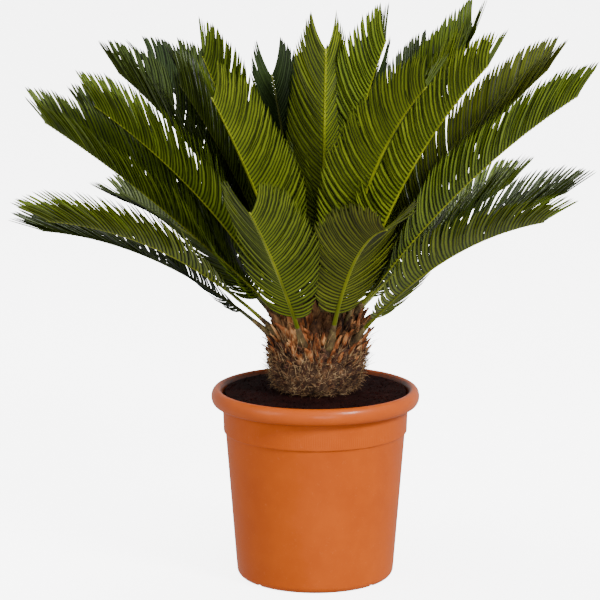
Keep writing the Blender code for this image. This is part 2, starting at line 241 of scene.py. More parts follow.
# Radius and height at the two ends of the outer wall's straight taper.
TAPER_FOOT = (0.1145, 0.010)
TAPER_TOP = (0.1311, 0.2225)
WALL_HEIGHTS = (0.2120, 0.190, 0.150, 0.100, 0.050, 0.022)
LINING_HEIGHTS = (0.05, 0.12, 0.19, 0.23, 0.2545)

# Radius and height down the collar band and round its step.
BAND_AND_STEP = (
    (0.1348, 0.2490), (0.1341, 0.2320), (0.1337, 0.2190), (0.13365, 0.2177), (0.1334, 0.2168),
    (0.1329, 0.2163), (0.1320, 0.2162), (0.1314, 0.2158), (0.13105, 0.2148),
)


def arc_points(middle, size, start, end, steps):
    """Points of (radius, height) on an ellipse, angles in degrees from outwards."""
    angles = [math.radians(start + (end - start) * step / steps) for step in range(steps + 1)]
    return [(middle[0] + size[0] * math.cos(a), middle[1] + size[1] * math.sin(a)) for a in angles]


def spun(profile, steps):
    """A closed bmesh turned about Z from a profile whose ends lie on the axis."""
    bm = bmesh.new()
    points = [bm.verts.new((radius, 0.0, height)) for radius, height in profile]
    edges = [bm.edges.new(pair) for pair in zip(points, points[1:])]
    bmesh.ops.spin(bm, geom=points + edges, cent=(0, 0, 0), axis=(0, 0, 1), dvec=(0, 0, 0),
                   angle=2 * math.pi, steps=steps, use_merge=True, use_duplicate=False)
    bmesh.ops.remove_doubles(bm, verts=bm.verts, dist=0.000002)
    bmesh.ops.recalc_face_normals(bm, faces=bm.faces)
    return bm


def pot_wall(height):
    """Radius of the outer wall under the collar."""
    (foot_radius, foot), (top_radius, top) = TAPER_FOOT, TAPER_TOP
    return foot_radius + (top_radius - foot_radius) * (height - foot) / (top - foot)


def pot_inside(height):
    """Radius of the inner wall."""
    low = pot_wall(POT_FLOOR + 0.002) - POT_WALL
    share = (height - POT_FLOOR) / (POT_HEIGHT - POT_ROLL[1] - POT_FLOOR)
    return low + (POT_COLLAR_RADIUS - POT_WALL - low) * min(share, 1.0)


roll_middle = (POT_RIM_RADIUS - POT_ROLL[0] / 2, POT_HEIGHT - POT_ROLL[1] / 2)
pot_profile = [(0.0, POT_FLOOR), (0.05, POT_FLOOR), (pot_inside(POT_FLOOR) - 0.004, POT_FLOOR)]
pot_profile += arc_points((pot_inside(POT_FLOOR) - 0.003, POT_FLOOR + 0.003), (0.003, 0.003), -70, 0, 4)
pot_profile += [(pot_inside(height), height) for height in LINING_HEIGHTS]
pot_profile += arc_points(roll_middle, (POT_ROLL[0] / 2, POT_ROLL[1] / 2), 165, -84, 26)
pot_profile += arc_points((POT_COLLAR_RADIUS + 0.0012, 0.2530), (0.0012, 0.0020), 150, 180, 2)
pot_profile += BAND_AND_STEP
pot_profile += [(pot_wall(height) + 0.0003, height) for height in WALL_HEIGHTS]
pot_profile += arc_points((POT_FOOT_RADIUS, 0.0105), (0.0102, 0.0105), 0, -90, 10)
pot_profile += [(0.098, 0.0), (0.0970, POT_UNDERSIDE), (0.050, POT_UNDERSIDE), (0.0, POT_UNDERSIDE)]
pot = add_piece("pot_shell", mesh_of(spun(pot_profile, POT_STEPS), "pot_shell"))
notch_cutters = []
for turn in NOTCH_TURNS:
    notch_bm = bmesh.new()
    bmesh.ops.create_cube(notch_bm, size=1.0)
    bmesh.ops.scale(notch_bm, vec=(NOTCH_WIDTH, NOTCH_DEPTH, NOTCH_HEIGHT * 2), verts=notch_bm.verts)
    lengthways = [edge for edge in notch_bm.edges
                  if abs((edge.verts[0].co - edge.verts[1].co).normalized().y) > 0.9]
    bmesh.ops.bevel(notch_bm, geom=lengthways, offset=NOTCH_ROUNDING, segments=4, profile=0.5,
                    affect="EDGES", material=-1)
    angle = math.radians(turn)
    reach = POT_FOOT_RADIUS + NOTCH_OFFSET
    moved = Matrix.Translation((reach * math.sin(angle), -reach * math.cos(angle), 0.0))
    bmesh.ops.transform(notch_bm, matrix=moved @ Matrix.Rotation(angle, 4, "Z"), verts=notch_bm.verts)
    cutter = add_piece("notch_cutter", mesh_of(notch_bm, "notch_cutter"))
    notch_cutters.append(cutter)
    cut = pot.modifiers.new("notch", "BOOLEAN")
    cut.operation = "DIFFERENCE"
    cut.solver = "EXACT"
    cut.object = cutter
finished_pot = pot.evaluated_get(bpy.context.evaluated_depsgraph_get())
cut_mesh = bpy.data.meshes.new_from_object(finished_pot)
pot.modifiers.clear()
pot.data = cut_mesh
for cutter in notch_cutters:
    bpy.data.objects.remove(cutter, do_unlink=True)
cut_mesh.shade_smooth()
cut_mesh.set_sharp_from_angle(angle=math.radians(POT_SHARP_ANGLE))

pot_finish, pot_shader, pot_place = start_finish(
    "terracotta_plastic", Specular_IOR_Level=0.13, Coat_Roughness=0.20)
pot_axes = pot_place.node("ShaderNodeSeparateXYZ", None, {"Vector": pot_place})
pot_x, pot_y, pot_z = (Field(pot_place.tree, pot_axes.socket.node.outputs[axis]) for axis in range(3))
pot_turn = pot_y.maths("ARCTAN2", pot_x)
pot_clouds = pot_place.speckle(14.0, 4.0, 0.55).between(0.32, 0.70)
pot_blotches = pot_place.speckle(55.0, 3.0, 0.6).between(0.45, 0.75)
pot_scuffs = pot_place.speckle(240.0, 5.0, 0.7, 1.2).between(0.60, 0.72)
pot_radius = (pot_x * pot_x + pot_y * pot_y).maths("SQRT")
# The inner wall above the soil: dust and painted shade darken it, and soil splashes land on it.
pot_dust_and_shade = pot_z.between(0.262, 0.2740) * (1.0 - pot_radius.between(0.1375, 0.1425))
pot_splash = pot_place.speckle(150.0, 4.0, 0.65).between(0.52, 0.60) * pot_dust_and_shade
pot_colour = (pot_clouds * 0.55 + pot_blotches * 0.18).blend(TERRACOTTA_DEEP, TERRACOTTA)
pot_colour = (pot_scuffs * 0.22).blend(pot_colour, SCUFF)
pot_colour = (pot_dust_and_shade * 0.75).blend(pot_colour, POT_DIRT_AND_SHADE)
pot_colour = (pot_splash * 0.8).blend(pot_colour, SOIL_SPLASH)
# Painted shade: a dark line in the crease under the rolled rim, where the roll shades the band.
pot_crease_shade = pot_z.between(0.2525, 0.2545) * (1.0 - pot_z.between(0.2555, 0.2575))
pot_colour = (pot_crease_shade * 0.5).blend(pot_colour, PAINTED_CREASE_SHADE)
pot_crown = pot_z.between(0.2590, 0.2640)
band_flutes = (pot_turn * FLUTES_A_TURN).maths("SINE")
band_only = pot_z.between(0.2185, 0.2210) * (1.0 - pot_z.between(0.2400, 0.2440))
pot_grain = pot_place.speckle(1500.0, 2.0, 0.5)
pot_height_field = pot_grain * 0.00012 + band_flutes * band_only * 0.000035 + pot_clouds * 0.0002
feed(pot_shader, Base_Color=pot_colour, Roughness=0.38 + pot_clouds * 0.10 + pot_scuffs * 0.12,
     Coat_Weight=pot_crown * 0.22, Normal=relief(pot_height_field))
cut_mesh.materials.clear()
cut_mesh.materials.append(pot_finish)
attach(pot, "root")
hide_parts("pot")


# The soil: dark moist potting mix filled to just under the rim, pressed by hand and a
# little heaped at the trunk, with loose crumbs and a few shreds of bark on top.
SOIL_EDGE = 0.2752
SOIL_HEAP = 0.2768
SOIL_GAP = 0.0004
SOIL_STEPS = 160
SOIL_RINGS = 46
HEAP_RADIUS = 0.055
HEAP_POWER = 0.8
CRUMB_COUNT = 1500
CRUMB_KINDS = 6
CRUMB_SIZE = (0.0005, 0.0016)
CRUMBS_FROM = 0.046
CRUMB_EDGE = 0.0028
SOIL_DARK = (0.0036, 0.0009, 0.0008)
SOIL_LIGHT = (0.040, 0.0085, 0.0062)
SOIL_FLECK = (0.11, 0.050, 0.034)

chance = random.Random(11)


def soil_level(radius):
    """Height of the soil at a distance from the pot's middle."""
    edge = pot_inside(SOIL_EDGE) - SOIL_GAP
    share = min(max((radius - HEAP_RADIUS) / (edge - HEAP_RADIUS), 0.0), 1.0)
    return SOIL_HEAP - (SOIL_HEAP - SOIL_EDGE) * share**HEAP_POWER


soil_reach = pot_inside(SOIL_EDGE) - SOIL_GAP
soil_profile = [(soil_reach * ring / SOIL_RINGS, soil_level(soil_reach * ring / SOIL_RINGS))
                for ring in range(SOIL_RINGS + 1)]
soil_profile += [(soil_reach, SOIL_EDGE - 0.004), (pot_inside(0.250) - SOIL_GAP, 0.250),
                 (pot_inside(0.1) - SOIL_GAP, 0.1), (pot_inside(POT_FLOOR) - 0.004, POT_FLOOR + 0.0006),
                 (0.0, POT_FLOOR + 0.0006)]
soil_bm = spun(soil_profile, SOIL_STEPS)
for point in soil_bm.verts:
    radius = math.hypot(point.co.x, point.co.y)
    if point.co.z < SOIL_EDGE - 0.0005 or radius > soil_reach - 0.0002:
        continue
    lumps = noise.fractal(point.co * 42.0, 0.9, 2.1, 3) * 0.0011
    grit = noise.fractal(point.co * 260.0, 0.6, 2.0, 3) * 0.0006
    point.co.z = min(point.co.z + lumps + grit, SOIL_HEAP + 0.0006)
soil_mesh = mesh_of(soil_bm, "soil_bed")
soil_mesh.shade_smooth()
soil_finish, soil_shader, soil_place = start_finish("moist_soil", Specular_IOR_Level=0.05)
soil_grit = soil_place.speckle(420.0, 6.0, 0.7)
soil_patch = soil_place.speckle(38.0, 3.0, 0.6).between(0.35, 0.7)
soil_fleck = soil_place.speckle(700.0, 2.0, 0.5).between(0.66, 0.70)
soil_colour = (soil_grit.between(0.35, 0.75) * (0.35 + 0.65 * soil_patch)).blend(SOIL_DARK, SOIL_LIGHT)
soil_colour = (soil_fleck * 0.5).blend(soil_colour, SOIL_FLECK)
feed(soil_shader, Base_Color=soil_colour, Roughness=0.80 + soil_grit * 0.18,
     Normal=relief(soil_grit * 0.0016))
soil = add_piece("soil_bed", soil_mesh, soil_finish)
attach(soil, "root")
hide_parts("soil")


def shape_arrays(bm):
    """The corners and faces of a small bmesh, which it frees."""
    bm.verts.index_update()
    corners = np.array([tuple(point.co) for point in bm.verts])
    faces = [tuple(point.index for point in face.verts) for face in bm.faces]
    bm.free()
    return corners, faces


def scattered(name, shapes, places, *finishes):
    """One joined mesh of many copies: each place is (shape number, 3 x 3 axes, origin)."""
    corners = []
    faces = []
    offset = 0
    for number, axes, origin in places:
        shape_corners, shape_faces = shapes[number]
        corners.append(shape_corners @ np.array(axes).T + np.array(origin))
        faces.extend([tuple(corner + offset for corner in face) for face in shape_faces])
        offset += len(shape_corners)
    mesh = bpy.data.meshes.new(name)
    mesh.from_pydata(np.concatenate(corners).tolist(), [], faces)
    mesh.shade_smooth()
    return add_piece(name, mesh, *finishes)


crumb_shapes = []
for number in range(CRUMB_KINDS):
    crumb_bm = bmesh.new()
    bmesh.ops.create_icosphere(crumb_bm, subdivisions=1, radius=1.0)
    for point in crumb_bm.verts:
        point.co *= chance.uniform(0.62, 1.2)
    bmesh.ops.recalc_face_normals(crumb_bm, faces=crumb_bm.faces)
    crumb_shapes.append(shape_arrays(crumb_bm))
crumb_places = []
for number in range(CRUMB_COUNT):
    radius = math.sqrt(chance.uniform(CRUMBS_FROM**2, (soil_reach - CRUMB_EDGE) ** 2))
    angle = chance.uniform(0.0, 2 * math.pi)
    size = CRUMB_SIZE[0] + CRUMB_SIZE[1] * chance.random() ** 3
    roll = chance.uniform(0, 6.3)
    turned = Matrix.Rotation(roll, 3, Vector((chance.gauss(0, 1), chance.gauss(0, 1), 1.0)))
    flat = Matrix.Diagonal((size, size * chance.uniform(0.6, 1.0), size * chance.uniform(0.5, 0.9)))
    origin = (radius * math.cos(angle), radius * math.sin(angle), soil_level(radius) + 0.25 * size)
    crumb_places.append((number % len(crumb_shapes), turned @ flat, origin))
crumbs = scattered("soil_crumbs", crumb_shapes, crumb_places, soil_finish)
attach(crumbs, "root")


# The trunk: a squat barrel that leans a little, wrapped in the stubs of old leaves.
# Its core is dark matted fibre; everything below is fixed to it as it grew.
TRUNK_FOOT_RADIUS = 0.052
TRUNK_RADIUS = 0.070
TRUNK_FOOT = 0.2756
TRUNK_SHOULDER = 0.3456
TRUNK_TOP = 0.3898
TRUNK_FOOT_X = 0.0015
TRUNK_LEAN = 0.02
GOLDEN_TURN = math.radians(137.508)
CORE_INSET = 0.0035
CORE_TOP_INSET = 0.004
CORE_RINGS = 56
CORE_STEPS = 132


def trunk_middle(height):
    """The trunk's middle at a height."""
    return Vector((TRUNK_FOOT_X + TRUNK_LEAN * (height - SOIL_HEAP), 0.0, height))


def trunk_outline():
    """Radius and height of the barrel from its top to its foot."""
    side = TRUNK_SHOULDER - TRUNK_FOOT
    dome = TRUNK_TOP - TRUNK_SHOULDER
    return [
        (0.0, TRUNK_TOP),
        (0.34 * TRUNK_RADIUS, TRUNK_SHOULDER + 0.93 * dome),
        (0.62 * TRUNK_RADIUS, TRUNK_SHOULDER + 0.72 * dome),
        (0.85 * TRUNK_RADIUS, TRUNK_SHOULDER + 0.40 * dome),
        (0.97 * TRUNK_RADIUS, TRUNK_SHOULDER),
        (TRUNK_RADIUS, TRUNK_FOOT + 0.70 * side),
        (0.985 * TRUNK_RADIUS, TRUNK_FOOT + 0.42 * side),
        (0.90 * TRUNK_RADIUS, TRUNK_FOOT + 0.16 * side),
        (TRUNK_FOOT_RADIUS, TRUNK_FOOT),
    ]


def trunk_radius(height):
    """The barrel's radius at a height, 0 above its top."""
    outline = trunk_outline()
    heights = [point[1] for point in reversed(outline)]
    radii = [point[0] for point in reversed(outline)]
    return float(np.interp(height, heights, radii, right=0.0))


core_profile = []
core_top = TRUNK_TOP - CORE_TOP_INSET
for step in range(CORE_RINGS + 1):
    height = core_top - (core_top - TRUNK_FOOT) * step / CORE_RINGS
    core_profile.append((max(trunk_radius(height) - CORE_INSET, 0.0), height))
core_profile[0] = (0.0, core_profile[0][1])
core_profile.append((0.0, TRUNK_FOOT))
core_bm = spun(core_profile, CORE_STEPS)
for point in core_bm.verts:
    if point.co.z <= TRUNK_FOOT + 0.0001:
        continue
    out = Vector((point.co.x, point.co.y, 0.0)).normalized()
    lumps = noise.fractal(Vector((point.co.x * 60, point.co.y * 60, point.co.z * 70)), 0.8, 2.1, 4)
    point.co += out * lumps * 0.0022
for point in core_bm.verts:
    point.co.x += trunk_middle(point.co.z).x
core_mesh = mesh_of(core_bm, "trunk_core")
core_mesh.shade_smooth()


def dry_finish(name, dark, middle, light, scale, gloss=0.85):
    """Dead plant fibre in three shades, streaked along the trunk."""
    finish, shader, place = start_finish(name, Specular_IOR_Level=0.2)
    stretched = place.node("ShaderNodeMapping", None, {"Vector": place, "Scale": (1.0, 1.0, 0.35)})
    shades = stretched.speckle(scale, 4.0, 0.62)
    streaks = stretched.speckle(scale * 6.0, 3.0, 0.6)
    patches = place.speckle(36.0, 2.0, 0.5).between(0.36, 0.64)
    tone = shades * 0.58 + streaks * 0.25 + patches * 0.17
    stops = ((0.36, dark), (0.50, middle), (0.66, light))
    colour = tone.node("ShaderNodeValToRGB", None, {"Fac": tone}, stops=stops)
    feed(shader, Base_Color=colour, Roughness=gloss - 0.12 * streaks, Normal=relief(streaks * 0.0006))
    return finish


core_finish = dry_finish(
    "matted_fibre", (0.016, 0.008, 0.005), (0.05, 0.024, 0.012), (0.12, 0.065, 0.035), 150.0)
trunk_core = add_piece("trunk_core", core_mesh, core_finish)
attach(trunk_core, "root")
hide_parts("trunk")


# The old leaf bases: woody stubs set in a spiral round the barrel, dark and frayed low down.
# Between them papery scale leaves stand up, orange brown outside and darker towards the middle.
STUB_COUNT = 300
STUB_KINDS = 12
PAPER_COUNT = 150
PAPER_KINDS = 16
INNER_PAPER_COUNT = 90
BASE_SHADES = ((0.010, 0.0045, 0.003), (0.064, 0.024, 0.013), (0.30, 0.155, 0.070))
PAPER_SHADES = ((0.030, 0.009, 0.004), (0.250, 0.075, 0.020), (0.60, 0.31, 0.125))
INNER_SHADES = ((0.014, 0.006, 0.004), (0.085, 0.034, 0.012), (0.26, 0.13, 0.05))

# How far round the barrel a place drifts, in radians for each metre that it may drift up or down.
DRIFT_TURN = 90.0


def pointed_scale(across, along, cup, curl, thick, edge_power, ragged):
    """A closed curved scale: foot at the origin, along Y, hollow side to -Z."""
    bm = bmesh.new()
    bmesh.ops.create_grid(bm, x_segments=4, y_segments=6, size=0.5)
    for point in bm.verts:
        reach = point.co.y + 0.5
        sideways = point.co.x * 2
        belly = 0.75 + 0.25 * math.sin(min(reach * 2.4, 1.57))
        half = across / 2 * belly * (1.0 - reach**edge_power) + 0.00025
        rough = ragged * chance.uniform(-1.0, 1.0) * reach
        point.co = (
            sideways * half + rough,
            reach * along + rough,
            curl * reach**2 - cup * sideways**2 * (1.0 - 0.5 * reach) + rough,
        )
    bmesh.ops.solidify(bm, geom=bm.faces[:], thickness=thick)
    bmesh.ops.recalc_face_normals(bm, faces=bm.faces)
    return shape_arrays(bm)


def outwards(angle):
    """The level direction out of the trunk, angle in radians from the viewer's side."""
    return Vector((math.sin(angle), -math.cos(angle), 0.0))


def upright_axes(out, lean, spin, scale):
    """Axes of a scale that stands on the barrel: X round it, Y up and leaning out, Z outwards."""
    up = (Vector((0, 0, 1)) * math.cos(lean) + out * math.sin(lean)).normalized()
    side = up.cross(out).normalized()
    turned = Matrix.Rotation(spin, 3, up.cross(side))
    side, up = turned @ side, turned @ up
    normal = side.cross(up)
    return np.array([side * scale, up * scale, normal * scale]).T


def barrel_places(count, low, high, shapes, lean, spread, sink, scale, drift, power=1.0):
    """Places on a golden spiral round the barrel between two heights, drifting a little."""
    places = []
    for number in range(count):
        share = (number + 0.5) / count
        height = low + (high - low) * share**power
        out = outwards(number * GOLDEN_TURN + DRIFT_TURN * chance.uniform(-drift, drift))
        foot = trunk_middle(height) + out * (trunk_radius(height) - sink)
        foot.z = height + chance.uniform(-drift, drift)
        tilt = math.radians(lean[0] + (lean[1] - lean[0]) * share + chance.uniform(-spread, spread))
        spin = math.radians(chance.uniform(-spread, spread))
        size = scale[0] + (scale[1] - scale[0]) * share
        kind = chance.randrange(len(shapes))
        places.append((kind, upright_axes(out, tilt, spin, size * chance.uniform(0.7, 1.3)), foot))
    return places


stub_shapes = [pointed_scale(0.0110, 0.0140, 0.0020, chance.uniform(-0.003, 0.005), 0.0014, 2.2, 0.0010)
               for number in range(STUB_KINDS)]
stub_places = barrel_places(STUB_COUNT, 0.2773, 0.344, stub_shapes, lean=(34, 20), spread=24, sink=0.0032,
                            scale=(0.70, 1.0), power=0.85, drift=0.0022)
stub_finish = dry_finish("old_leaf_bases", *BASE_SHADES, 170.0)
stubs = scattered("old_leaf_bases", stub_shapes, stub_places, stub_finish)
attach(stubs, "root")

paper_shapes = [pointed_scale(chance.uniform(0.009, 0.016), chance.uniform(0.028, 0.042), 0.0042,
                              chance.uniform(-0.003, 0.012), 0.0006, 2.3, 0.0011)
                for number in range(PAPER_KINDS)]
paper_places = barrel_places(PAPER_COUNT, 0.322, 0.366, paper_shapes, lean=(24, 6), spread=17, sink=0.0024,
                             scale=(0.52, 1.05), power=0.9, drift=0.0030)
paper_finish = dry_finish("papery_scale_leaves", *PAPER_SHADES, 90.0, gloss=0.62)
papers = scattered("papery_scale_leaves", paper_shapes, paper_places, paper_finish)
inner_places = barrel_places(INNER_PAPER_COUNT, 0.352, 0.374, paper_shapes, lean=(14, 2), spread=12,
                             sink=0.0024, scale=(0.85, 1.25), drift=0.0030)
inner_finish = dry_finish("inner_scale_leaves", *INNER_SHADES, 110.0)
inner_papers = scattered("inner_scale_leaves", paper_shapes, inner_places, inner_finish)
for piece in (papers, inner_papers):
    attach(piece, "root")


# Loose fibres: thin dry curls, long straw strands and dark spines that have frayed off the
# leaf bases. Brown wool and tall narrow scales fill the crown's middle.
CURL_COUNT = 2000
CURL_KINDS = 12
CURL_HEIGHTS = (0.2775, 0.064)
STRAND_COUNT = 320
STRAND_KINDS = 12
SPINE_COUNT = 170
SPINE_KINDS = 6
SPINE_HEIGHTS = (0.296, 0.358)
WOOL_COUNT = 420
TALL_COUNT = 90
MIDDLE_KINDS = 6
DOME_RADIUS = 0.069
DOME_POWER = 2.4
DOME_SINK = 0.009
STRAW_SHADES = ((0.11, 0.052, 0.023), (0.32, 0.185, 0.083), (0.64, 0.45, 0.235))
BROWN_SHADES = ((0.016, 0.007, 0.005), (0.050, 0.022, 0.013), (0.12, 0.06, 0.032))
WOOL_SHADES = ((0.045, 0.020, 0.010), (0.15, 0.065, 0.028), (0.33, 0.18, 0.09))


def spike(length, radius, bend, steps, curl):
    """A thin closed three sided spike from the origin along Y, bent towards Z."""
    bm = bmesh.new()
    bmesh.ops.create_circle(bm, segments=3, radius=radius, cap_ends=True,
                            matrix=Matrix.Rotation(math.pi / 2, 4, "X"))
    face = bm.faces[:][0]
    for step in range(1, steps + 1):
        grown = bmesh.ops.extrude_face_region(bm, geom=[face])["geom"]
        bmesh.ops.delete(bm, geom=[face], context="FACES_ONLY")
        face = [item for item in grown if isinstance(item, bmesh.types.BMFace)][0]
        reach = step / steps
        middle = face.calc_center_median()
        rise = length * math.sin(min(reach * curl, 3.0)) / curl
        target = Vector((0.0, rise, bend * reach**1.8))
        shrink = (1.0 - 0.9 * reach) / (1.0 - 0.9 * (reach - 1 / steps))
        for point in face.verts:
            point.co = target + (point.co - middle) * shrink
    bmesh.ops.holes_fill(bm, edges=bm.edges)
    bmesh.ops.recalc_face_normals(bm, faces=bm.faces)
    return shape_arrays(bm)


def loose_places(count, height_of, sink, lean, spin, scale, kinds):
    """Places round the barrel for fibres that lean and turn anyhow within their ranges."""
    places = []
    for number in range(count):
        height = height_of()
        out = outwards(number * GOLDEN_TURN)
        foot = trunk_middle(height) + out * (trunk_radius(height) - sink)
        tilt = math.radians(chance.uniform(*lean))
        turn = math.radians(chance.uniform(-spin, spin))
        axes = upright_axes(out, tilt, turn, chance.uniform(*scale))
        places.append((chance.randrange(kinds), axes, foot))
    return places


def dome_places(count, reach, start, lean, spread, scale):
    """Places on a golden spiral over the trunk's dome, leaning out more towards its edge."""
    places = []
    dome = TRUNK_TOP - TRUNK_SHOULDER
    for number in range(count):
        radius = reach * math.sqrt((number + 0.5) / count)
        out = outwards(number * GOLDEN_TURN + start)
        height = TRUNK_SHOULDER + dome * (1.0 - (radius / DOME_RADIUS) ** DOME_POWER) - DOME_SINK
        tilt = lean[0] + lean[1] * radius / reach + chance.uniform(-spread, spread)
        turn = math.radians(chance.uniform(-spread, spread))
        axes = upright_axes(out, math.radians(tilt), turn, chance.uniform(*scale))
        places.append((chance.randrange(MIDDLE_KINDS), axes, trunk_middle(height) + out * radius))
    return places


curl_shapes = [spike(chance.uniform(0.008, 0.015), 0.00042, chance.uniform(0.001, 0.008), 5,
                     chance.uniform(0.8, 2.6)) for number in range(CURL_KINDS)]


def curl_height():
    """A random height on the barrel, more of them low down."""
    return CURL_HEIGHTS[0] + CURL_HEIGHTS[1] * chance.random() ** 1.15


def spine_height():
    """A random height on the barrel's upper half."""
    return chance.uniform(*SPINE_HEIGHTS)


curl_places = loose_places(CURL_COUNT, curl_height, 0.0005, (5, 95), 75, (0.7, 1.25), CURL_KINDS)
straw_finish = dry_finish("straw_fibre", *STRAW_SHADES, 260.0, gloss=0.8)
brown_finish = dry_finish("brown_fibre", *BROWN_SHADES, 260.0)
straw_curls = scattered("straw_curls", curl_shapes, curl_places[::3] + curl_places[1::3], straw_finish)
brown_curls = scattered("brown_curls", curl_shapes, curl_places[2::3], brown_finish)

strand_shapes = [spike(chance.uniform(0.022, 0.036), 0.00085, chance.uniform(-0.004, 0.010), 6,
                       chance.uniform(0.5, 1.3)) for number in range(STRAND_KINDS)]
strand_places = barrel_places(STRAND_COUNT, 0.304, 0.366, strand_shapes, lean=(30, 12), spread=26,
                              sink=0.0004, scale=(0.7, 1.05), drift=0.0040)
strands = scattered("straw_strands", strand_shapes, strand_places, straw_finish)

spine_shapes = [spike(chance.uniform(0.015, 0.026), 0.00058, chance.uniform(-0.005, 0.003), 4, 0.6)
                for number in range(SPINE_KINDS)]
spine_places = loose_places(SPINE_COUNT, spine_height, 0.001, (28, 74), 26, (0.6, 1.1), SPINE_KINDS)
spines = scattered("dry_spines", spine_shapes, spine_places, brown_finish)

wool_shapes = [pointed_scale(0.0042, 0.026, 0.0012, chance.uniform(-0.003, 0.003), 0.0005, 1.3, 0.0004)
               for number in range(MIDDLE_KINDS)]
wool_places = dome_places(WOOL_COUNT, 0.058, 0.0, (4, 20), 9, (0.7, 1.1))
wool_finish = dry_finish("crown_wool", *WOOL_SHADES, 180.0)
wool = scattered("crown_wool", wool_shapes, wool_places, wool_finish)

tall_shapes = [pointed_scale(0.0052, chance.uniform(0.050, 0.068), 0.0014, chance.uniform(-0.004, 0.004),
                             0.0006, 1.4, 0.0005) for number in range(MIDDLE_KINDS)]
tall_places = dome_places(TALL_COUNT, 0.054, 0.7, (2, 16), 7, (0.65, 1.05))
tall_scales = scattered("crown_scales", tall_shapes, tall_places, inner_finish)
for piece in (straw_curls, brown_curls, strands, spines, wool, tall_scales):
    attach(piece, "root")


# The ribs: each frond's midrib and stalk, a tough tapering rod that arches out of the crown.
# Low outer fronds are older; the steep inner ones are the newest.
CROWN_RADIUS = 0.060
CROWN_BASE = 0.3476
CROWN_RISE = 0.036
BEND_POWER = 1.3
RIB_STEPS = 90
STALK = 0.055
RIB_SIDES = 8
RIB_WIDTH = (0.0080, 0.0030)
RIB_DEPTH = (0.0062, 0.0017)
WIDTH_POWER = 0.8
DEPTH_POWER = 1.6
FOOT_SWELL = 0.85
SWELL_REACH = 0.050

# Heights between which the painted shade on the low stalk fades and it turns green, and how far
# the felt on a stalk reaches from where it comes out of the trunk.
STALK_SHADE_FADE = (0.37, 0.50)
FELT_REACH = (-0.014, 0.034)
FELT_THICKNESS = (0.0022, 0.0001)
FELT_RINGS = 9
FELT_SHADES = ((0.030, 0.017, 0.008), (0.095, 0.060, 0.024), (0.19, 0.145, 0.055))

# turn (0 towards the viewer, 90 right), tier (0 edge, 1 middle), rise, bend, length, roll, shade (which set
# of greens; the bright sets carry painted light, the dark and blue sets painted shade)
FRONDS = (
    (-73, 0.15, 45.8, 39, 0.403, 0, "bright"),
    (-92, 0.03, 41.2, 37, 0.382, 2, "dark"),
    (-125, 0.12, 44, 34, 0.355, 8, "mid"),
    (-155, 0.05, 39, 30, 0.390, 0, "blue"),
    (178, 0.05, 34.5, 28, 0.405, -6, "blue"),
    (152, 0.05, 38.5, 27, 0.405, 8, "blue"),
    (130, 0.30, 35, 16, 0.390, 14, "mid"),
    (101, 0.12, 44.3, 27, 0.380, 4, "dark"),
    (51, 0.02, 47.3, 33, 0.402, 0, "bright"),
    (17, 0.03, 62, 50, 0.340, 0, "olive"),
    (-20, 0.05, 52, 12, 0.315, 0, "bright"),
    (-76, 0.45, 46.5, 12, 0.480, 20, "mid"),
    (-65, 0.50, 57.5, 22, 0.465, 20, "mid"),
    (-40, 0.54, 66, 12, 0.410, 0, "bright"),
    (8, 0.45, 83.5, -1, 0.420, 0, "bright"),
    (35, 0.28, 79.5, 42, 0.450, 0, "bright"),
    (55, 0.26, 71.5, 27, 0.480, 0, "bright"),
    (74, 0.40, 55.5, 21, 0.495, -4, "mid"),
    (108, 0.48, 55.5, 16, 0.490, -6, "olive"),
    (142, 0.35, 59.5, 22, 0.445, 5, "blue"),
    (167, 0.38, 58.5, 23, 0.425, 0, "blue"),
    (-168, 0.35, 58, 25, 0.420, -6, "blue"),
    (-139, 0.42, 60.5, 36, 0.510, 7, "blue"),
    (-115, 0.42, 64, 29, 0.468, -4, "dark"),
    (-131, 0.62, 62, 17, 0.430, 0, "dark"),
    (-103, 0.62, 68.5, 14, 0.392, -5, "dark"),
    (-63, 0.70, 69.5, 4, 0.430, 8, "mid"),
    (62, 0.66, 86, 18, 0.430, 0, "mid"),
    (97, 0.70, 71, 14, 0.430, -10, "bright"),
    (124, 0.62, 60.5, 6, 0.485, 0, "mid"),
    (140, 0.64, 58.5, 6, 0.432, 0, "dark"),
    (150, 0.76, 70, 12, 0.385, 0, "blue"),
    (-155, 0.64, 72, 8, 0.376, 14, "blue"),
    (-178, 0.78, 82.5, 10, 0.350, 0, "blue"),
    (150, 0.90, 79.5, 9, 0.360, 0, "dark"),
    (60, 0.90, 85.5, 4, 0.350, 0, "dark"),
    (-96, 0.28, 53, 14, 0.430, 0, "dark"),
)


def unit(vectors):
    """The vectors at length one."""
    return vectors / np.linalg.norm(vectors, axis=-1, keepdims=True)


def rib_line(turn, tier, rise, bend, length):
    """Even points along a rib, from inside the crown to its tip, by the solids' rule."""
    angle = math.radians(turn)
    radius = CROWN_RADIUS * (1 - tier)
    start = np.array(trunk_middle(CROWN_BASE)) + np.array((math.sin(angle), -math.cos(angle), 0.0)) * radius
    start[2] = CROWN_BASE + CROWN_RISE * tier
    shares = (np.arange(RIB_STEPS) + 0.5) / RIB_STEPS
    climb = np.radians(rise - bend * shares**BEND_POWER)
    level = np.cos(climb)
    steps = np.stack([np.sin(angle) * level, -np.cos(angle) * level, np.sin(climb)], axis=1)
    return np.concatenate([start[None], start + np.cumsum(steps * length / RIB_STEPS, axis=0)])


def rib_frames(line, shares):
    """Places on a rib, and there the directions forward, sideways and upwards."""
    marks = np.linspace(0.0, 1.0, RIB_STEPS + 1)
    slopes = np.gradient(line, axis=0)
    places = np.stack([np.interp(shares, marks, line[:, axis]) for axis in range(3)], axis=1)
    forward = unit(np.stack([np.interp(shares, marks, slopes[:, axis]) for axis in range(3)], axis=1))
    side = unit(np.cross(forward, (0.0, 0.0, 1.0)))
    return places, forward, side, np.cross(side, forward)


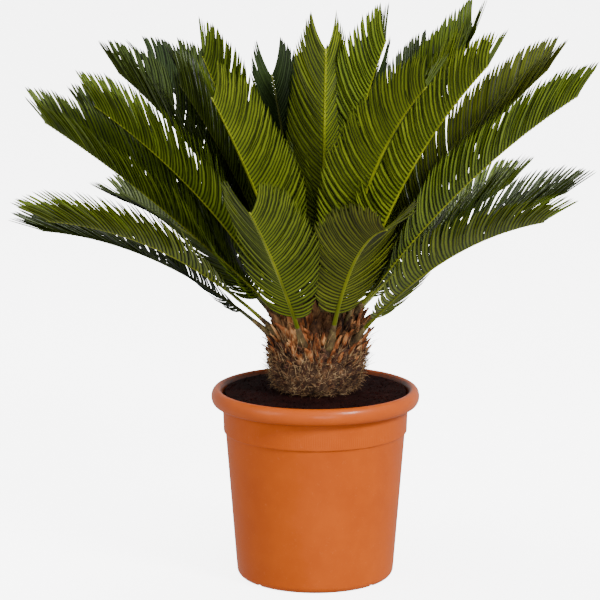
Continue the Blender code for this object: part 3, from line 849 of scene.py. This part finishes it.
def rib_exit(line):
    """Share of a rib at which it comes out of the trunk."""
    for number, point in enumerate(line):
        middle = trunk_middle(point[2])
        if math.hypot(point[0] - middle.x, point[1]) > trunk_radius(point[2]) + 0.001:
            return number / RIB_STEPS
    return 0.1


def rib_sizes(shares):
    """Half width and half depth along a rib: a stalk that swells at its foot, and a fine tip."""
    swell = 1.0 + FOOT_SWELL * np.exp(-shares / SWELL_REACH)
    wide = (RIB_WIDTH[0] + (RIB_WIDTH[1] - RIB_WIDTH[0]) * shares**WIDTH_POWER) / 2
    deep = (RIB_DEPTH[1] + (RIB_DEPTH[0] - RIB_DEPTH[1]) * (1 - shares) ** DEPTH_POWER) / 2
    return wide * swell, deep * swell


def tube_arrays(places, side, upper, wide, deep, sides):
    """A closed tube of oval rings through the places."""
    angles = 2 * np.pi * np.arange(sides) / sides
    rings = (places[:, None] + side[:, None] * (wide[:, None, None] * np.cos(angles)[None, :, None])
             + upper[:, None] * (deep[:, None, None] * np.sin(angles)[None, :, None]))
    count = len(places)
    faces = []
    for ring in range(count - 1):
        for corner in range(sides):
            after = (corner + 1) % sides
            low, high = ring * sides, (ring + 1) * sides
            faces.append((low + corner, high + corner, high + after, low + after))
    faces.append(tuple(range(sides)))
    faces.append(tuple((count - 1) * sides + corner for corner in reversed(range(sides))))
    return rings.reshape(-1, 3), faces


ribs = []
for row in FRONDS:
    turn, tier, rise, bend, length, roll, shade = row
    line = rib_line(turn, tier, rise, bend, length)
    ribs.append({"line": line, "exit": rib_exit(line), "length": length, "tier": tier, "roll": roll,
                 "shade": shade})


def rib_finish(name, deep, fresh, roughness):
    """A living rib: two greens in soft clouds, waxy, with painted shade darkening it down at the stalk."""
    finish, shader, place = start_finish(name, Specular_IOR_Level=0.20)
    clouds = place.speckle(26.0, 3.0, 0.55).between(0.30, 0.70)
    fine = place.speckle(780.0, 2.0, 0.5)
    height = place.node("ShaderNodeSeparateXYZ", None, {"Vector": place}, output="Z")
    colour = (clouds * 0.75 + fine * 0.25).blend(deep, fresh)
    # Painted shade: the rib darkens below these heights, in the shadow inside the crown.
    colour = height.between(*STALK_SHADE_FADE).blend(tuple(0.62 * value for value in deep), colour)
    feed(shader, Base_Color=colour, Roughness=roughness - 0.08 * clouds + 0.1 * fine,
         Normal=relief(fine * 0.0002))
    return finish


# Lit and shaded copies of the rib greens: painted light on the ribs of the bright, mid and olive fronds,
# painted shade on those of the dark and blue back fronds.
RIB_GREENS = {
    "lit_ribs": ((0.125, 0.150, 0.005), (0.270, 0.290, 0.015), ("bright", "mid", "olive")),
    "shaded_ribs": ((0.034, 0.042, 0.003), (0.095, 0.106, 0.008), ("dark", "blue")),
}
for rib_name, (deep, fresh, shades) in RIB_GREENS.items():
    shapes = []
    for rib in ribs:
        if rib["shade"] in shades:
            shares = np.linspace(0.0, 1.0, 40) ** 1.15
            places, forward, side, upper = rib_frames(rib["line"], shares)
            shapes.append(tube_arrays(places, side, upper, *rib_sizes(shares), RIB_SIDES))
    places = [(number, np.eye(3), (0.0, 0.0, 0.0)) for number in range(len(shapes))]
    piece = scattered(rib_name, shapes, places, rib_finish(rib_name, deep, fresh, 0.42))
    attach(piece, "root")

sleeve_shapes = []
for rib in ribs:
    shares = np.clip(rib["exit"] + np.linspace(*FELT_REACH, FELT_RINGS) / rib["length"], 0.0, 1.0)
    shares = shares + np.arange(FELT_RINGS) * 0.0001
    places, forward, side, upper = rib_frames(rib["line"], shares)
    wide, deep = rib_sizes(shares)
    uneven = np.array([chance.uniform(0.9, 1.15) for share in shares])
    fade = uneven * np.linspace(*FELT_THICKNESS, FELT_RINGS)
    sleeve_shapes.append(tube_arrays(places, side, upper, wide + fade, deep + fade, 10))
places = [(number, np.eye(3), (0.0, 0.0, 0.0)) for number in range(len(sleeve_shapes))]
sleeve_finish = dry_finish("stalk_felt", *FELT_SHADES, 240.0)
sleeves = scattered("stalk_felt", sleeve_shapes, places, sleeve_finish)
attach(sleeves, "root")


# The leaflets: stiff narrow blades in two rows along each rib, folded up into a V, glossy
# above and paler below, with edges rolled under. Each grows out of its rib's side.
LEAFLET_SPACING = 0.0062
LEAFLET = 0.098
FIRST_SHARE = 0.34
LAST_SHARE = 0.61
FULL_FROM = 0.42
FULL_TO = 0.72
FADE_POWER = 1.6
SWEEP_BASE = 58
SWEEP_TIP = 27
KEEL_BASE = -4
KEEL_OUTER = 29
KEEL_INNER = 46
KEEL_TIER = 0.4
KEEL_REACH = 0.35
KEEL_RISE = 8
KEEL_RISE_FROM = 0.6
BLADE_WIDTH = 0.0063
BLADE_MARKS = np.array((0.0, 0.06, 0.22, 0.46, 0.70, 0.90))
BLADE_SHAPE = np.array((0.96, 1.0, 1.0, 1.0, 0.90, 0.58))
BLADE_TWIST = 16.0
BLADE_CREASE = 0.0012
LIFTS = (0, 4, -4, 8, -8, 13, -13, 20, 30)
SHORTEST_LEAFLET = 0.010
BLOCKED_SHARE = 0.85
BLADE_TOP = 0.00034
BLADE_LOW = 0.00022
BLADE_SHARP_ANGLE = 75

# For each shade: deep and fresh green above, then deep and fresh green on the underside.
# These are lit and shaded copies of one leaf's greens: painted light on the bright fronds,
# painted shade on the dark and blue back fronds.
LEAF_GREENS = {
    "bright": (
        (0.0463, 0.0725, 0.0031), (0.1058, 0.1462, 0.0060),
        (0.0665, 0.0927, 0.0040), (0.1512, 0.1865, 0.0101),
    ),
    "mid": (
        (0.0385, 0.0621, 0.0044), (0.0968, 0.1366, 0.0075),
        (0.0621, 0.0919, 0.0056), (0.1341, 0.1788, 0.0112),
    ),
    "olive": (
        (0.0385, 0.0491, 0.0034), (0.0886, 0.1060, 0.0058),
        (0.0597, 0.0722, 0.0043), (0.1252, 0.1406, 0.0096),
    ),
    "dark": (
        (0.0154, 0.0273, 0.0030), (0.0429, 0.0667, 0.0054),
        (0.0333, 0.0512, 0.0042), (0.0738, 0.1024, 0.0089),
    ),
    "blue": (
        (0.0121, 0.0231, 0.0055), (0.0330, 0.0550, 0.0132),
        (0.0264, 0.0429, 0.0094), (0.0572, 0.0836, 0.0198),
    ),
}


def blade_finish(name, deep, fresh, roughness):
    """A living leaflet: two greens, with painted shade on its rolled edges and a painted highlight along
    its middle that also marks its paler midrib.
    """
    finish, shader, place = start_finish(name, Specular_IOR_Level=0.14)
    middle = place.node("ShaderNodeAttribute", {"attribute_name": "middle"}, output="Fac")
    tone = place.node("ShaderNodeAttribute", {"attribute_name": "tone"}, output="Fac")
    clouds = place.speckle(30.0, 3.0, 0.55).between(0.32, 0.68)
    fine = place.speckle(800.0, 2.0, 0.5)
    colour = (clouds * 0.55 + tone * 0.45).blend(deep, fresh)
    # Painted shade: the blade darkens towards both edges, standing in for the shadows in the gaps between
    # leaflets.
    colour = middle.between(0.22, 0.66).blend(tuple(0.20 * value for value in deep), colour)
    # A painted highlight along the middle, which also stands for the paler midrib.
    colour = (middle.between(0.80, 1.0) * 0.35).blend(colour, tuple(1.7 * value for value in fresh))
    feed(shader, Base_Color=colour, Roughness=roughness + 0.1 * fine - 0.06 * tone,
         Normal=relief(fine * 0.0002))
    return finish


luck = np.random.default_rng(29)

rib_corners = []
rib_faces = []
rib_owners = []
for number, rib in enumerate(ribs):
    shares = np.linspace(rib["exit"], 1.0, 26)
    places, forward, side, upper = rib_frames(rib["line"], shares)
    wide, deep = rib_sizes(shares)
    corners, faces = tube_arrays(places, side, upper, wide + 0.0008, deep + 0.0008, 4)
    offset = len(rib_corners)
    rib_corners.extend(map(tuple, corners))
    rib_faces.extend(tuple(corner + offset for corner in face) for face in faces)
    rib_owners.extend([number] * len(faces))
rib_tree = BVHTree.FromPolygons(rib_corners, rib_faces)


def way_blocked(foot, tip, owner):
    """Distance at which another frond's rib lies across a leaflet's way, or None."""
    start = Vector(foot)
    way = Vector(tip) - start
    reach = way.length
    way.normalize()
    passed = 0.006
    while passed < reach:
        place, normal, face, distance = rib_tree.ray_cast(start + way * passed, way, reach - passed)
        if place is None:
            return None
        if rib_owners[face] != owner:
            return passed + distance
        passed += distance + 0.0005
    return None


def leaflet_blades(rib, owner):
    """All the blades of one frond: middle lines, width axes, faces' axes, half widths and tips."""
    leaf_start = rib["exit"] + STALK / rib["length"]
    pairs = round((1 - leaf_start) * rib["length"] / LEAFLET_SPACING)
    numbers = np.repeat(np.arange(pairs), 2)
    hand = np.tile((-1.0, 1.0), pairs)[:, None]
    along = np.clip((numbers + 0.5 + 0.18 * hand[:, 0]) / pairs, 0.0, 1.0)
    shares = leaf_start + (1 - leaf_start) * (0.004 + 0.992 * along)
    places, forward, side, upper = rib_frames(rib["line"], shares)
    count = len(along)
    grow = np.sin(np.minimum(along / FULL_FROM, 1.0) * np.pi / 2)
    fade = np.maximum((along - FULL_TO) / (1 - FULL_TO), 0.0) ** FADE_POWER
    length = LEAFLET * (FIRST_SHARE + (1 - FIRST_SHARE) * grow) * (1 - (1 - LAST_SHARE) * fade)
    length = length * luck.uniform(0.97, 1.01, count)
    bunch = 1.2 * np.sin(numbers * luck.uniform(0.45, 0.75) + hand[:, 0] + luck.uniform(0, 6))
    sweep = np.radians(SWEEP_BASE + (SWEEP_TIP - SWEEP_BASE) * along + bunch + luck.normal(0, 0.7, count))
    full = KEEL_OUTER + (KEEL_INNER - KEEL_OUTER) * min(rib["tier"] / KEEL_TIER, 1.0)
    last = np.maximum((along - KEEL_RISE_FROM) / (1 - KEEL_RISE_FROM), 0.0)
    keel = KEEL_BASE + (full - KEEL_BASE) * np.minimum(along / KEEL_REACH, 1.0)
    keel = keel + KEEL_RISE * last + luck.normal(0, 1.2, count)
    wide, deep = rib_sizes(shares)
    foot = places + side * hand * wide[:, None] * 0.55 + upper * deep[:, None] * 0.15
    roll = math.radians(rib["roll"])
    turned = side * math.cos(roll) + upper * math.sin(roll)
    side, upper = turned, upper * math.cos(roll) - side * math.sin(roll)

    def direction(sweeps, keels):
        across = side * hand * np.cos(keels)[:, None] + upper * np.sin(keels)[:, None]
        return forward * np.cos(sweeps)[:, None] + across * np.sin(sweeps)[:, None]

    ways = {lift: direction(sweep, np.radians(keel + lift)) for lift in LIFTS}
    tip = foot + ways[0] * length[:, None]
    for blade in range(count):
        for lift in LIFTS:
            lifted = foot[blade] + ways[lift][blade] * length[blade]
            hit = way_blocked(foot[blade], lifted, owner)
            if hit is None:
                tip[blade] = lifted
                keel[blade] += lift
                break
        else:
            length[blade] = max(hit * BLOCKED_SHARE, SHORTEST_LEAFLET)
            tip[blade] = foot[blade] + ways[0][blade] * length[blade]
    bend = np.radians(21.0 - 6.0 * along + luck.normal(0, 1.8, count))
    first = direction(sweep + bend, np.radians(keel - 7.0))
    control = foot + first * length[:, None] * 0.46
    marks = BLADE_MARKS[None, :, None]
    line = (1 - marks) ** 2 * foot[:, None] + 2 * marks * (1 - marks) * control[:, None]
    line = line + marks**2 * tip[:, None]
    way = unit(2 * (1 - marks) * (control - foot)[:, None] + 2 * marks * (tip - control)[:, None])
    flat = unit(forward[:, None] - way * np.sum(way * forward[:, None], axis=2, keepdims=True))
    face = np.cross(way, flat) * hand[:, None]
    twist = np.radians(luck.normal(BLADE_TWIST, 4.0, count))[:, None, None] * (0.5 + 0.6 * marks)
    turned = flat * np.cos(twist) + face * np.sin(twist)
    flat, face = turned, face * np.cos(twist) - flat * np.sin(twist)
    slim = BLADE_WIDTH / 2 * (0.62 + 0.38 * length / LEAFLET) * luck.uniform(0.92, 1.08, count)
    half = slim[:, None] * BLADE_SHAPE[None]
    return line, flat * hand[:, None], face, half[:, :, None], tip


def blade_mesh(name, blades):
    """Closed blades joined into one mesh: four corners a ring and a point, top and underside apart."""
    line, flat, face, half, tip = (np.concatenate([frond[part] for frond in blades]) for part in range(5))
    thin = half / (BLADE_WIDTH / 2)
    top = line + face * BLADE_TOP * thin
    low = line - face * BLADE_LOW * thin
    left = line - flat * half - face * BLADE_CREASE * thin
    right = line + flat * half - face * BLADE_CREASE * thin
    rings = np.stack([top, left, low, right], axis=2)
    count, marks = rings.shape[:2]
    corners = np.concatenate([rings.reshape(count, marks * 4, 3), tip[:, None]], axis=1)
    upper_side = []
    under_side = []
    for ring in range(marks - 1):
        here, there = 4 * ring, 4 * ring + 4
        upper_side += [(here, here + 1, there + 1, there), (here + 3, here, there, there + 3)]
        under_side += [(here + 1, here + 2, there + 2, there + 1)]
        under_side += [(here + 2, here + 3, there + 3, there + 2)]
    last, point = 4 * (marks - 1), 4 * marks
    upper_side += [(last, last + 1, point), (last + 3, last, point)]
    under_side += [(last + 1, last + 2, point), (last + 2, last + 3, point), (0, 3, 2, 1)]
    offsets = (np.arange(count) * (point + 1))[:, None]
    faces = []
    for pattern in upper_side:
        faces.extend((offsets + np.array(pattern)).tolist())
    for pattern in under_side:
        faces.extend((offsets + np.array(pattern)).tolist())
    mesh = bpy.data.meshes.new(name)
    mesh.from_pydata(corners.reshape(-1, 3).tolist(), [], faces)
    sides = np.zeros(len(faces), dtype=np.int32)
    sides[count * len(upper_side):] = 1
    mesh.polygons.foreach_set("material_index", sides)
    middles = np.tile([1.0, 0.0] * (2 * marks) + [0.5], count)
    mesh.attributes.new("middle", "FLOAT", "POINT").data.foreach_set("value", middles)
    tones = np.repeat(luck.uniform(0.0, 1.0, count), point + 1)
    mesh.attributes.new("tone", "FLOAT", "POINT").data.foreach_set("value", tones)
    mesh.shade_smooth()
    mesh.set_sharp_from_angle(angle=math.radians(BLADE_SHARP_ANGLE))
    return mesh


for shade, (deep, fresh, under_deep, under_fresh) in LEAF_GREENS.items():
    numbers = [number for number, rib in enumerate(ribs) if rib["shade"] == shade]
    blades = [leaflet_blades(ribs[number], number) for number in numbers]
    upper_finish = blade_finish(f"leaflet_{shade}", deep, fresh, 0.36)
    under_finish = blade_finish(f"leaflet_{shade}_under", under_deep, under_fresh, 0.48)
    mesh = blade_mesh(f"leaflets_{shade}", blades)
    piece = add_piece(f"leaflets_{shade}", mesh, upper_finish, under_finish)
    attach(piece, "root")
    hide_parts(*[f"frond_{number + 1:02d}" for number in numbers])
